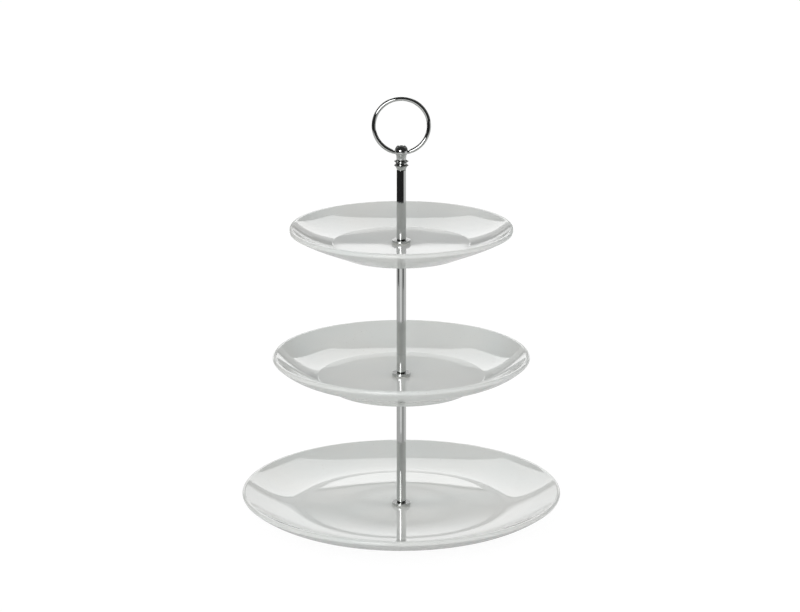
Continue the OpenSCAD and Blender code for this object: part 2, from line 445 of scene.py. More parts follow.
class Bench:
    """Lays out the shader nodes of one material."""

    def __init__(self, name: str) -> None:
        """Starts a material with a Principled shader and object coordinates.

        Args:
            name: name of the material.
        """
        self.material = bpy.data.materials.new(name)
        self.material.use_nodes = True
        self.tree = self.material.node_tree
        self.shader = self.tree.nodes["Principled BSDF"]
        self.coordinates = self.tree.nodes.new("ShaderNodeTexCoord").outputs["Object"]

    def set(self, **values: float) -> None:
        """Sets plain values on the shader's own sockets, named with _ for a space."""
        for name, value in values.items():
            self.shader.inputs[name.replace("_", " ")].default_value = value

    def link(self, source: Socket, target: str) -> None:
        """Joins an output to one of the shader's inputs."""
        self.tree.links.new(source, self.shader.inputs[target])

    def stretched(self, scale: Triple) -> Socket:
        """Scales each axis of the object coordinates by its own factor.

        Args:
            scale: the three factors.

        Returns:
            The scaled coordinates.
        """
        mapping = self.tree.nodes.new("ShaderNodeMapping")
        mapping.inputs["Scale"].default_value = scale
        self.tree.links.new(self.coordinates, mapping.inputs["Vector"])
        return mapping.outputs["Vector"]

    def noise(
        self, size: float, detail: float = 2, rough: float = 0.5, where: Socket | None = None
    ) -> Socket:
        """Makes soft noise whose blotches are about size across.

        Args:
            size: width of a blotch.
            detail: number of finer layers.
            rough: strength of the finer layers.
            where: coordinates, or None for the object's own.

        Returns:
            The noise, from 0 to 1.
        """
        node = self.tree.nodes.new("ShaderNodeTexNoise")
        node.inputs["Scale"].default_value = 1 / size
        node.inputs["Detail"].default_value = detail
        node.inputs["Roughness"].default_value = rough
        self.tree.links.new(where or self.coordinates, node.inputs["Vector"])
        return node.outputs["Fac"]

    def spread(
        self, source: Socket, low: float, high: float, start: float = 0.3, stop: float = 0.7
    ) -> Socket:
        """Maps a value from start..stop to low..high.

        Args:
            source: the value to map.
            low: result at start.
            high: result at stop.
            start: value that gives low.
            stop: value that gives high.

        Returns:
            The mapped value.
        """
        node = self.tree.nodes.new("ShaderNodeMapRange")
        node.inputs["From Min"].default_value = start
        node.inputs["From Max"].default_value = stop
        node.inputs["To Min"].default_value = low
        node.inputs["To Max"].default_value = high
        self.tree.links.new(source, node.inputs["Value"])
        return node.outputs["Result"]

    def blend(self, share: Socket, first: Colour | Socket, second: Colour) -> Socket:
        """Mixes two colours.

        Args:
            share: share of the second colour, from 0 to 1.
            first: the first colour, plain or from another node.
            second: the second colour.

        Returns:
            The mixed colour.
        """
        node = self.tree.nodes.new("ShaderNodeMix")
        node.data_type = "RGBA"
        self.tree.links.new(share, node.inputs["Factor"])
        if isinstance(first, tuple):
            node.inputs["A"].default_value = (*first, 1.0)
        else:
            self.tree.links.new(first, node.inputs["A"])
        node.inputs["B"].default_value = (*second, 1.0)
        return node.outputs["Result"]

    def total(self, first: Socket, second: Socket) -> Socket:
        """Adds two values.

        Args:
            first: the first value.
            second: the second value.

        Returns:
            Their sum.
        """
        node = self.tree.nodes.new("ShaderNodeMath")
        node.operation = "ADD"
        self.tree.links.new(first, node.inputs[0])
        self.tree.links.new(second, node.inputs[1])
        return node.outputs["Value"]

    def relief(self, height: Socket, depth: float, under: Socket | None = None) -> Socket:
        """Bumps the surface by a height map.

        Args:
            height: the height map, from 0 to 1.
            depth: height that 1 stands for.
            under: normal of a coarser relief below this one, or None.

        Returns:
            The bumped normal.
        """
        node = self.tree.nodes.new("ShaderNodeBump")
        node.inputs["Distance"].default_value = depth
        self.tree.links.new(height, node.inputs["Height"])
        if under is not None:
            self.tree.links.new(under, node.inputs["Normal"])
        return node.outputs["Normal"]


@dataclass(frozen=True)
class Glaze:
    """Clear glossy glaze over white porcelain."""

    name: str = "white_glaze"
    cool: Colour = (0.640, 0.662, 0.650)
    warm: Colour = (0.664, 0.668, 0.648)
    drift_size: float = 60 * MM
    speck: Colour = (0.46, 0.43, 0.38)
    speck_size: float = 1.1 * MM
    speck_strength: float = 0.6
    gloss: float = 0.020
    haze: float = 0.035
    haze_size: float = 35 * MM
    wave: float = 0.014 * MM
    wave_size: float = 28 * MM
    orange_peel: float = 0.0012 * MM
    peel_size: float = 2.4 * MM

    def material(self) -> bpy.types.Material:
        """Makes the glaze, with slow colour drift, rare specks, faint haze and a slightly wavy surface.

        Returns:
            The material.
        """
        bench = Bench(self.name)
        bench.set(IOR=1.5, Metallic=0.0)
        drift = bench.spread(bench.noise(self.drift_size, detail=3), 0, 1)
        colour = bench.blend(drift, self.cool, self.warm)
        dots = bench.noise(self.speck_size, detail=0)
        specks = bench.spread(dots, 0, self.speck_strength, start=0.80, stop=0.86)
        bench.link(bench.blend(specks, colour, self.speck), "Base Color")
        clouds = bench.noise(self.haze_size, detail=4, rough=0.6)
        bench.link(bench.spread(clouds, self.gloss, self.haze), "Roughness")
        slow = bench.relief(bench.noise(self.wave_size, detail=1), self.wave)
        fine = bench.noise(self.peel_size, detail=1)
        bench.link(bench.relief(fine, self.orange_peel, slow), "Normal")
        return bench.material


@dataclass(frozen=True)
class BareClay:
    """Unglazed porcelain, ground flat where the foot ring stands."""

    name: str = "ground_foot"
    pale: Colour = (0.66, 0.64, 0.60)
    worn: Colour = (0.42, 0.40, 0.37)
    rub_size: float = 9 * MM
    grain_size: float = 0.35 * MM
    grain_depth: float = 0.03 * MM
    roughness: Span = (0.70, 0.92)

    def material(self) -> bpy.types.Material:
        """Makes the dry clay, with fine grain and grey rub marks from shelves.

        Returns:
            The material.
        """
        bench = Bench(self.name)
        bench.set(IOR=1.45)
        grain = bench.noise(self.grain_size, detail=3, rough=0.7)
        rubs = bench.noise(self.rub_size, detail=5, rough=0.65)
        rubbed = bench.spread(rubs, 0, 1, start=0.52, stop=0.74)
        bench.link(bench.blend(rubbed, self.pale, self.worn), "Base Color")
        bench.link(bench.spread(grain, *self.roughness), "Roughness")
        bench.link(bench.relief(grain, self.grain_depth), "Normal")
        return bench.material


@dataclass(frozen=True)
class Chrome:
    """Bright chrome plate on turned or drawn steel."""

    name: str = "bright_chrome"
    clean: Colour = (0.60, 0.61, 0.60)
    handled: Colour = (0.54, 0.55, 0.54)
    smear_size: float = 14 * MM
    gloss: float = 0.035
    smear: float = 0.10
    line_size: float = 2.0 * MM
    line_stretch: Triple = (1.0, 1.0, 60.0)
    line_gloss: float = 0.012
    line_depth: float = 0.0004 * MM

    def material(self) -> bpy.types.Material:
        """Makes the plate, with polishing lines round the axis and faint smears from hands.

        Returns:
            The material.
        """
        bench = Bench(self.name)
        bench.set(Metallic=1.0)
        touched = bench.noise(self.smear_size, detail=5, rough=0.62)
        dulled = bench.spread(touched, 0, 1, start=0.45, stop=0.75)
        bench.link(bench.blend(dulled, self.clean, self.handled), "Base Color")
        lines = bench.noise(self.line_size, where=bench.stretched(self.line_stretch))
        sheen = bench.spread(touched, self.gloss, self.smear, start=0.42, stop=0.80)
        fine = bench.spread(lines, -self.line_gloss, self.line_gloss)
        bench.link(bench.total(sheen, fine), "Roughness")
        bench.link(bench.relief(lines, self.line_depth), "Normal")
        return bench.material


@dataclass(frozen=True)
class Steel:
    """Zinc-plated steel of the hidden fixings."""

    name: str = "zinc_steel"
    bright: Colour = (0.60, 0.61, 0.62)
    dull: Colour = (0.42, 0.43, 0.44)
    spangle_size: float = 1.6 * MM
    roughness: Span = (0.46, 0.28)
    mark_size: float = 0.5 * MM
    mark_stretch: Triple = (1.0, 1.0, 12.0)
    mark_depth: float = 0.004 * MM

    def material(self) -> bpy.types.Material:
        """Makes the satin zinc, with its spangle and turning marks.

        Returns:
            The material.
        """
        bench = Bench(self.name)
        bench.set(Metallic=1.0)
        spangle = bench.noise(self.spangle_size, detail=4, rough=0.6)
        bench.link(bench.blend(bench.spread(spangle, 0, 1), self.dull, self.bright), "Base Color")
        bench.link(bench.spread(spangle, *self.roughness), "Roughness")
        marks = bench.noise(self.mark_size, where=bench.stretched(self.mark_stretch))
        bench.link(bench.relief(marks, self.mark_depth), "Normal")
        return bench.material


@dataclass(frozen=True)
class SoftWasher:
    """Milky soft plastic of the washers against the glaze."""

    name: str = "milky_plastic"
    milky: Colour = (0.70, 0.70, 0.68)
    aged: Colour = (0.62, 0.61, 0.56)
    cloud_size: float = 4 * MM
    roughness: Span = (0.38, 0.55)
    grain_size: float = 0.6 * MM
    grain_depth: float = 0.010 * MM

    def material(self) -> bpy.types.Material:
        """Makes the soft plastic, a little cloudy and matt.

        Returns:
            The material.
        """
        bench = Bench(self.name)
        bench.set(IOR=1.5)
        cloud = bench.noise(self.cloud_size, detail=3)
        bench.link(bench.blend(bench.spread(cloud, 0, 1), self.milky, self.aged), "Base Color")
        bench.link(bench.spread(cloud, *self.roughness), "Roughness")
        bench.link(bench.relief(bench.noise(self.grain_size), self.grain_depth), "Normal")
        return bench.material


# ---------------------------------------------------------------------------------------------
# The stand's pieces
# ---------------------------------------------------------------------------------------------


@dataclass
class Plate:
    """One glazed dish with a flat well, a curved wall, a rolled lip and a ground foot ring.

    The slopes are those of the wall and of the underside, each at its start and at the lip. The
    share well_flat of the well's radius is flat, and the rest dishes up to the low verge that ends it.
    """

    node: str
    well_diameter: float
    thickness: float
    foot_diameter: float
    foot_height: float
    well_dish: float
    verge_height: float
    wall_slopes: Span
    under_slopes: Span
    lip: float = 4.2 * MM
    hole: float = 10 * MM
    drill_edge: float = 0.3 * MM
    foot_width: float = 4.6 * MM
    foot_round: float = 0.9 * MM
    foot_fillet: float = 1.4 * MM
    foot_draft: float = 0.3 * MM
    foot_ground: float = 0.3 * MM
    well_flat: float = 0.4
    verge_width: float = 2.4 * MM
    verge_crease: float = 0.3 * MM
    flat_steps: int = 12
    dish_steps: int = 16
    slope_steps: int = 48
    lip_steps: int = 36
    heel_steps: int = 4
    foot_steps: int = 10
    segments: int = 288
    sharp: float = 60

    def well(self, top: float) -> list[Point]:
        """Draws the top face from the hole's edge to the verge below the wall.

        Args:
            top: height of the well's flat middle.

        Returns:
            The points, inside out. The last one is where the wall starts.
        """
        start = self.hole / 2 + self.drill_edge
        well_r = self.well_diameter / 2
        flat_r = well_r * self.well_flat
        flat = [(start + (flat_r - start) * i / self.flat_steps, top) for i in range(self.flat_steps)]
        shares = [i / self.dish_steps for i in range(self.dish_steps + 1)]
        dish = [(flat_r + (well_r - flat_r) * t, top + self.well_dish * t**2) for t in shares]
        verge_r = well_r + self.verge_width
        verge_top = top + self.well_dish + self.verge_height
        drop = self.verge_height * self.verge_crease / self.verge_width
        return [*flat, *dish, (verge_r - self.verge_crease, verge_top - drop), (verge_r, verge_top)]

    def outline(self) -> list[Point]:
        """Draws the half section from the hole over the well and lip and back along the underside.

        Returns:
            The closed half section.
        """
        low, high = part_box(self.node)
        lip_r = self.lip / 2
        lip_mid = (high.x - lip_r, high.z - lip_r)
        foot_top = low.z + self.foot_height
        foot_r = self.foot_diameter / 2
        foot_in = foot_r - self.foot_width
        wall_start, wall_end = self.wall_slopes
        under_start, under_end = self.under_slopes
        rolled = self.foot_round
        heel_mid = (foot_r, low.z + rolled)
        toe_mid = (foot_in + self.foot_draft + rolled, low.z + rolled)
        fillet_mid = (foot_in - self.foot_fillet, foot_top - self.foot_fillet)
        well = self.well(foot_top + self.thickness)
        lip = arc(lip_mid, lip_r, 90 + wall_end, under_end - 90, self.lip_steps)
        heel = arc(heel_mid, rolled, under_start - 90, -90, self.heel_steps)
        wall = sweep(well[-1], wall_start, lip[0], wall_end, self.slope_steps)
        under = sweep(heel[0], under_start, lip[-1], under_end, self.slope_steps)
        return [
            (self.hole / 2, foot_top + self.thickness - self.drill_edge),
            *well[:-1],
            *wall,
            *lip[1:-1],
            *reversed(under),
            *heel[1:],
            *arc(toe_mid, rolled, 270, 180, self.foot_steps),
            *arc(fillet_mid, self.foot_fillet, 0, 90, self.foot_steps),
            (self.hole / 2 + self.drill_edge, foot_top),
            (self.hole / 2, foot_top + self.drill_edge),
        ]

    def build(self) -> bpy.types.Object:
        """Turns the plate and marks the ground faces of its foot ring.

        Returns:
            The plate, whose ground faces have material index 1.
        """
        piece = lathe(f"{self.node}_dish", self.outline(), self.segments, self.sharp)
        ground_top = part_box(self.node)[0].z + self.foot_ground
        for face in piece.data.polygons:
            if face.center.z < ground_top and face.normal.z < DOWNWARD:
                face.material_index = 1
        return piece

    def dress(self, glaze: bpy.types.Material, clay: bpy.types.Material) -> None:
        """Builds the plate and gives it its glaze and its bare foot."""
        place(self.build(), self.node, "stand", Slot.GLAZE, glaze, clay)


@dataclass
class Rod:
    """One length of the chromed rod, with rounded ends and a tapped hole in each."""

    node: str
    hole: float = 5.1 * MM
    tapped: float = 15 * MM
    sink: float = 0.4 * MM
    foot_round: float = 0.9 * MM
    head_round: float = 0.25 * MM

    def dress(self, chrome: bpy.types.Material) -> None:
        """Turns the rod and plates it.

        Args:
            chrome: its finish.
        """
        low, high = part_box(self.node)
        radius = high.x
        hole = self.hole / 2
        mouth = hole + self.sink
        corners = [
            (0, low.z + self.tapped),
            (hole, low.z + self.tapped),
            (hole, low.z + self.sink),
            (mouth, low.z),
            (radius, low.z),
            (radius, high.z),
            (mouth, high.z),
            (hole, high.z - self.sink),
            (hole, high.z - self.tapped),
            (0, high.z - self.tapped),
        ]
        radii = [0, 0, 0, 0, self.foot_round, self.head_round, 0, 0, 0, 0]
        piece = lathe(f"{self.node}_bar", round_corners(corners, radii))
        place(piece, self.node, "stand", Slot.CHROME, chrome)


@dataclass
class Disc:
    """A flat ring with rounded rims: a collar or a metal washer."""

    node: str
    slot: Slot
    hole: float = 5.4 * MM
    edge: float = 0.3 * MM
    bore_edge: float = 0.15 * MM
    segments: int = 128

    def dress(self, metal: bpy.types.Material) -> None:
        """Turns the disc and plates it.

        Args:
            metal: its finish.
        """
        low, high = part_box(self.node)
        hole = self.hole / 2
        corners = [(hole, low.z), (high.x, low.z), (high.x, high.z), (hole, high.z)]
        outline = round_corners(corners, [self.bore_edge, self.edge, self.edge, self.bore_edge])
        piece = lathe(f"{self.node}_disc", outline, self.segments)
        place(piece, self.node, "stand", self.slot, metal)


@dataclass
class Pad:
    """A soft washer whose boss keeps the metal clear of the plate's hole."""

    node: str
    side: Side
    flange: float = 0.8 * MM
    hole: float = 5.4 * MM
    boss: float = 9.6 * MM
    soft_edge: float = 0.35 * MM

    def dress(self, plastic: bpy.types.Material) -> None:
        """Moulds the washer.

        Args:
            plastic: its finish.
        """
        low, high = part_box(self.node)
        if self.side is Side.ABOVE:
            seat, face, tip = high.z - self.flange, high.z, low.z
        else:
            seat, face, tip = low.z + self.flange, low.z, high.z
        hole = self.hole / 2
        boss = self.boss / 2
        corners = [(hole, tip), (boss, tip), (boss, seat), (high.x, seat), (high.x, face), (hole, face)]
        soft = self.soft_edge
        piece = lathe(f"{self.node}_washer", round_corners(corners, [0, soft / 2, 0, soft, soft, 0]))
        place(piece, self.node, "stand", Slot.PAD, plastic)


@dataclass
class Stud:
    """A threaded stud that joins two rods through a plate."""

    node: str

    def dress(self, steel: bpy.types.Material) -> None:
        """Threads the stud from end to end.

        Args:
            steel: its finish.
        """
        low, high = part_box(self.node)
        piece = ScrewThread(high.x).bar(f"{self.node}_thread", low.z, high.z)
        place(piece, self.node, "stand", Slot.FIXING, steel)


@dataclass
class BaseScrew:
    """The low-headed socket screw that pulls the large plate against the lowest rod."""

    node: str = "base_screw"
    head_height: float = 1.6 * MM
    shank: ScrewThread = ScrewThread(2.5 * MM)
    shank_overlap: float = 0.2 * MM
    socket_flats: float = 3 * MM
    socket_depth: float = 1.1 * MM
    crown: float = 0.7 * MM
    rim_edge: float = 0.1 * MM

    def dress(self, steel: bpy.types.Material) -> None:
        """Turns the head, sinks its hexagon socket and adds the threaded shank.

        Args:
            steel: its finish.
        """
        low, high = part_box(self.node)
        top = low.z + self.head_height
        corners = [(0, low.z), (high.x, low.z), (high.x, top), (0, top)]
        outline = round_corners(corners, [0, self.crown, self.rim_edge, 0], steps=10)
        head = lathe(f"{self.node}_head", outline)
        corner_radius = self.socket_flats / math.sqrt(3)
        key = cutter("hexagon_key", corner_radius, 2 * self.socket_depth, sides=6, up=low.z)
        carve(head, key)
        carve(head, self.shank.bar("shank_tool", top - self.shank_overlap, high.z), join=True)
        place(head, self.node, "stand", Slot.FIXING, steel)


@dataclass
class Finial:
    """The turned knob: a cone, two sharp beads, a neck and the ball that the ring turns in."""

    node: str = "finial"
    spigot: float = 12 * MM
    spigot_overlap: float = 0.5 * MM
    spigot_thread: ScrewThread = ScrewThread(2.5 * MM)
    cone_foot: float = 3.7 * MM
    ball: float = 11.2 * MM
    ball_up: float = 15.8 * MM
    ball_steps: int = 48
    neck: float = 8.2 * MM
    neck_flare: float = 0.35 * MM
    bead: float = 12.2 * MM
    bead_up: float = 3.8 * MM
    bead_pitch: float = 3.5 * MM
    bead_height: float = 2.6 * MM
    bead_edge: float = 0.12 * MM
    waist: float = 9.4 * MM
    waist_edge: float = 0.2 * MM
    hole: float = 3.0 * MM
    hole_drop: float = 0.9 * MM
    hole_sides: int = 64
    segments: int = 128

    def outline(self, base: float) -> list[Point]:
        """Draws the knob's half section.

        Args:
            base: height of its seat on the rod.

        Returns:
            The closed half section, from the seat up to the top of the ball.
        """
        waist = self.waist / 2
        bead = self.bead / 2
        neck = self.neck / 2
        flared = neck + self.neck_flare
        ball = self.ball / 2
        half = self.bead_height / 2
        second = self.bead_up + self.bead_pitch
        corners = [
            (0, 0),
            (self.cone_foot, 0),
            (waist, self.bead_up - half),
            (bead, self.bead_up),
            (waist, self.bead_up + half),
            (waist, second - half),
            (bead, second),
            (neck, second + half),
            (flared, self.ball_up - math.sqrt(ball**2 - flared**2)),
        ]
        soft = self.waist_edge
        radii = [0, 0, soft, self.bead_edge, soft, soft, self.bead_edge, soft, 0]
        start = -math.degrees(math.acos(flared / ball))
        dome = arc((0, self.ball_up), ball, start, 90, self.ball_steps)[1:]
        return [(r, base + z) for r, z in [*round_corners(corners, radii), *dome]]

    def dress(self, chrome: bpy.types.Material) -> None:
        """Turns the knob, drills it across for the ring and adds its threaded spigot.

        Args:
            chrome: its finish.
        """
        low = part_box(self.node)[0]
        base = low.z + self.spigot
        hole_up = base + self.ball_up - self.hole_drop
        knob = lathe(f"{self.node}_knob", self.outline(base), self.segments)
        drill = cutter("cross_drill", self.hole / 2, 2 * self.ball, self.hole_sides, hole_up, across=True)
        carve(knob, drill)
        spigot = self.spigot_thread.bar("spigot_tool", low.z, base + self.spigot_overlap)
        carve(knob, spigot, join=True)
        place(knob, self.node, "stand", Slot.CHROME, chrome)


@dataclass
class CarryRing:
    """The wire ring, whose bent ends are dressed thinner and are the pins that it turns on.

    The wire swells to its full thickness over the first fade_steps of the bow.
    """

    node: str = "ring"
    wire: float = 3.6 * MM
    dressed: float = 2.9 * MM
    bend: float = 4.0 * MM
    bend_out: float = 5.95 * MM
    pin_gap: float = 2.4 * MM
    end_round: float = 0.25 * MM
    end_steps: int = 4
    pin_steps: int = 8
    bow_steps: int = 180
    fade_steps: int = 6
    sides: int = 48

    def pin(self, height: float) -> list[tuple[Point, float]]:
        """Draws the right-hand pin from its rounded end to the elbow.

        Args:
            height: height of the pins' axis.

        Returns:
            The centre line's points, each with the wire's radius there.
        """
        thin = self.dressed / 2
        start = self.pin_gap / 2
        soft = self.end_round
        turns = [math.radians(90 * i / self.end_steps) for i in range(self.end_steps + 1)]
        end = [((start + soft * (1 - math.cos(a)), height), thin - soft * (1 - math.sin(a))) for a in turns]
        run = self.bend_out - start
        # The rounded end stands in for the first two steps.
        straight = [((start + run * i / self.pin_steps, height), thin) for i in range(2, self.pin_steps)]
        return end + straight

    def half(self) -> list[tuple[Point, float]]:
        """Draws the right half, from the pin's end over the elbow to the top of the bow.

        Returns:
            The centre line's points, each with the wire's radius there.
        """
        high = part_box(self.node)[1]
        pin_z = next(joint["pos_m"][2] for joint in frame["joints"] if joint["child"] == "ring")
        radius = high.x - self.wire / 2
        centre = (0, high.z - high.x)
        turn = math.degrees(math.asin(self.bend_out / (radius - self.bend)))
        thin = self.dressed / 2
        thick = self.wire / 2
        elbow = arc((self.bend_out, pin_z + self.bend), self.bend, -90, -90 + turn, self.pin_steps)
        bow = arc(centre, radius, -90 + turn, 90, self.bow_steps)[1:]
        fades = [min(1.0, i / self.fade_steps) for i in range(1, self.bow_steps + 1)]
        swell = [(point, thin + (thick - thin) * fade) for point, fade in zip(bow, fades)]
        return [*self.pin(pin_z), *[(point, thin) for point in elbow], *swell]

    def dress(self, chrome: bpy.types.Material) -> None:
        """Bends the wire, half and mirrored half, and plates it.

        Args:
            chrome: its finish.
        """
        half = self.half()
        right = [(Vector((x, 0, z)), r) for (x, z), r in half]
        left = [(Vector((-x, 0, z)), r) for (x, z), r in reversed(half[:-1])]
        path, radii = zip(*right, *left)
        place(tube(f"{self.node}_wire", path, radii, self.sides), self.node, "ring", Slot.CHROME, chrome)


# ---------------------------------------------------------------------------------------------
# The studio
# ---------------------------------------------------------------------------------------------


class Rays(Enum):
    """The kinds of ray that a studio object shows itself to."""

    CAMERA = "visible_camera"
    DIFFUSE = "visible_diffuse"
    GLOSSY = "visible_glossy"
    TRANSMISSION = "visible_transmission"
    SHADOW = "visible_shadow"
    SCATTER = "visible_volume_scatter"


def seen_only_by(thing: bpy.types.Object, *rays: Rays) -> None:
    """Hides a studio object from every kind of ray but the given kinds."""
    for kind in Rays:
        setattr(thing, kind.value, kind in rays)


def empty_material(name: str) -> tuple[bpy.types.Material, bpy.types.NodeTree]:
    """Makes a material that has no shader yet.

    Args:
        name: name of the material.

    Returns:
        The material and its nodes.
    """
    material = bpy.data.materials.new(name)
    material.use_nodes = True
    material.node_tree.nodes.clear()
    return material, material.node_tree


def glowing(name: str, strength: float, upper: float | None = None) -> bpy.types.Material:
    """Makes a plain material that only gives off light.

    Args:
        name: name of the material.
        strength: its light, or its light at the lower edge.
        upper: its light at the upper edge, or None for an even light.

    Returns:
        The material.
    """
    material, tree = empty_material(name)
    light = tree.nodes.new("ShaderNodeEmission")
    light.inputs["Strength"].default_value = strength
    if upper is not None:
        parts = tree.nodes.new("ShaderNodeSeparateXYZ")
        tree.links.new(tree.nodes.new("ShaderNodeTexCoord").outputs["Generated"], parts.inputs["Vector"])
        rise = tree.nodes.new("ShaderNodeMapRange")
        rise.inputs["To Min"].default_value = strength
        rise.inputs["To Max"].default_value = upper
        tree.links.new(parts.outputs["Z"], rise.inputs["Value"])
        tree.links.new(rise.outputs["Result"], light.inputs["Strength"])
    out = tree.nodes.new("ShaderNodeOutputMaterial")
    tree.links.new(light.outputs["Emission"], out.inputs["Surface"])
    return material


def seen_directly(tree: bpy.types.NodeTree) -> Socket:
    """Adds a value that tells rays that see a thing from rays that only carry its light.

    Args:
        tree: the nodes that the value is added to.

    Returns:
        A value that is 1 for camera, glossy and transmission rays and 0 for the others.
    """
    path = tree.nodes.new("ShaderNodeLightPath")
    total = path.outputs["Is Camera Ray"]
    for kind in ("Is Glossy Ray", "Is Transmission Ray"):
        most = tree.nodes.new("ShaderNodeMath")
        most.operation = "MAXIMUM"
        tree.links.new(total, most.inputs[0])
        tree.links.new(path.outputs[kind], most.inputs[1])
        total = most.outputs["Value"]
    return total


@dataclass(frozen=True)
class Paper:
    """White paper under and behind the stand, which shows as plain white and keeps a faint shadow.

    Where it is seen, lift is the light that it gives off and kept is the share of the lamps' light
    that still shades it.
    """

    front: float = -4.0
    curve_from: float = 2.9
    curve: float = 0.5
    curve_steps: int = 24
    top: float = 0.66
    half_width: float = 1.5
    colour: Colour = (0.80, 0.80, 0.80)
    lift: float = 0.95
    kept: float = 0.08

    def material(self) -> bpy.types.Material:
        """Makes the paper: matt white to the light, and lifted to plain white where it is seen.

        Returns:
            The material.
        """
        material, tree = empty_material("white_paper")
        matt = tree.nodes.new("ShaderNodeBsdfDiffuse")
        matt.inputs["Color"].default_value = (*self.colour, 1.0)
        faint = tree.nodes.new("ShaderNodeBsdfDiffuse")
        faint.inputs["Color"].default_value = (self.kept, self.kept, self.kept, 1.0)
        glow = tree.nodes.new("ShaderNodeEmission")
        glow.inputs["Strength"].default_value = self.lift
        lifted = tree.nodes.new("ShaderNodeAddShader")
        tree.links.new(faint.outputs["BSDF"], lifted.inputs[0])
        tree.links.new(glow.outputs["Emission"], lifted.inputs[1])
        choice = tree.nodes.new("ShaderNodeMixShader")
        tree.links.new(seen_directly(tree), choice.inputs["Fac"])
        tree.links.new(matt.outputs["BSDF"], choice.inputs[1])
        tree.links.new(lifted.outputs["Shader"], choice.inputs[2])
        out = tree.nodes.new("ShaderNodeOutputMaterial")
        tree.links.new(choice.outputs["Shader"], out.inputs["Surface"])
        return material

    def set_up(self) -> None:
        """Lays the paper flat under the stand and bends it up well behind it."""
        bend = arc((self.curve_from, self.curve), self.curve, -90, 0, self.curve_steps)
        side = [(self.front, 0.0), (0.0, 0.0), *bend, (self.curve_from + self.curve, self.top)]
        edges = (-self.half_width, self.half_width)
        shape = bmesh.new()
        strip(shape, [[shape.verts.new((x, y, z)) for x in edges] for y, z in side])
        paper = finish_mesh(shape, "paper")
        paper.data.materials.append(self.material())


@dataclass(frozen=True)
class SoftBox:
    """A glowing rectangle or disc that faces the stand.

    Its turn is 0 on the camera's side and 90 on the right, and its rise is 0 level with its aim.
    """

    name: str
    turn: float
    rise: float
    away: float
    size: Span
    radiance: float
    round: bool = False
    aim: float = 0.15
    hidden: bool = False

    def set_up(self) -> None:
        """Hangs the box at its direction from the stand."""
        turn = math.radians(self.turn)
        rise = math.radians(self.rise)
        toward = Vector((math.sin(turn) * math.cos(rise), -math.cos(turn) * math.cos(rise), math.sin(rise)))
        width, height = self.size
        data = bpy.data.lights.new(self.name, "AREA")
        data.shape = "ELLIPSE" if self.round else "RECTANGLE"
        data.size = width
        data.size_y = height
        area = width * height * (math.pi / 4 if self.round else 1)
        data.energy = self.radiance * math.pi * area
        box = bpy.data.objects.new(self.name, data)
        box.location = Vector((0, 0, self.aim)) + toward * self.away
        box.rotation_euler = toward.to_track_quat("Z", "Y").to_euler()
        bpy.context.scene.collection.objects.link(box)
        shown = (Rays.DIFFUSE, Rays.SHADOW) if self.hidden else (Rays.DIFFUSE, Rays.GLOSSY, Rays.SHADOW)
        seen_only_by(box, *shown)


@dataclass(frozen=True)
class Room:
    """The dim room round the set, which only the bright surfaces pick up."""

    radius: float = 7.0
    facets: int = 48
    back: float = 0.16
    front: float = 0.04

    def set_up(self) -> None:
        """Builds the room's dome, lighter behind the stand than in front of it."""
        shape = bmesh.new()
        bmesh.ops.create_uvsphere(
            shape, u_segments=self.facets, v_segments=self.facets // 2, radius=self.radius
        )
        dome = finish_mesh(shape, "room")
        dome.data.materials.append(glowing("room_behind", self.back))
        dome.data.materials.append(glowing("room_in_front", self.front))
        for face in dome.data.polygons:
            face.material_index = 1 if face.center.y < 0 else 0
        seen_only_by(dome, Rays.GLOSSY)


@dataclass(frozen=True)
class Sector:
    """A level ring sector round the stand that only the bright surfaces pick up.

    It runs from one reach to the other and from one turn to the other, where 0 is the camera's side
    and 90 the right.
    """

    name: str
    reach: Span
    turn: Span
    glow: float
    height: float = 0.010
    facet: float = 3

    def set_up(self) -> None:
        """Lays the sector down."""
        first, last = self.turn
        steps = max(2, round((last - first) / self.facet))
        lift = Vector((0, 0, self.height))
        shape = bmesh.new()
        rows = []
        for i in range(steps + 1):
            turn = math.radians(first + (last - first) * i / steps)
            out = Vector((math.sin(turn), -math.cos(turn), 0))
            rows.append([shape.verts.new(out * reach + lift) for reach in self.reach])
        strip(shape, rows)
        sector = finish_mesh(shape, self.name)
        sector.data.materials.append(glowing(self.name, self.glow))
        seen_only_by(sector, Rays.GLOSSY)


@dataclass(frozen=True)
class Flat:
    """An upright card behind the stand that only the bright surfaces pick up.

    Its span runs from left to right, and its rise and its glow from the lower edge to the upper.
    """

    name: str
    away: float
    rise: Span
    span: Span
    glow: Span

    def set_up(self) -> None:
        """Stands the card square to the camera's line."""
        left, right = self.span
        low, high = self.rise
        corners = [(left, low), (right, low), (right, high), (left, high)]
        mesh = bpy.data.meshes.new(self.name)
        mesh.from_pydata([(x, self.away, z) for x, z in corners], [], [(0, 1, 2, 3)])
        mesh.materials.append(glowing(self.name, *self.glow))
        card = bpy.data.objects.new(self.name, mesh)
        bpy.context.scene.collection.objects.link(card)
        seen_only_by(card, Rays.GLOSSY)


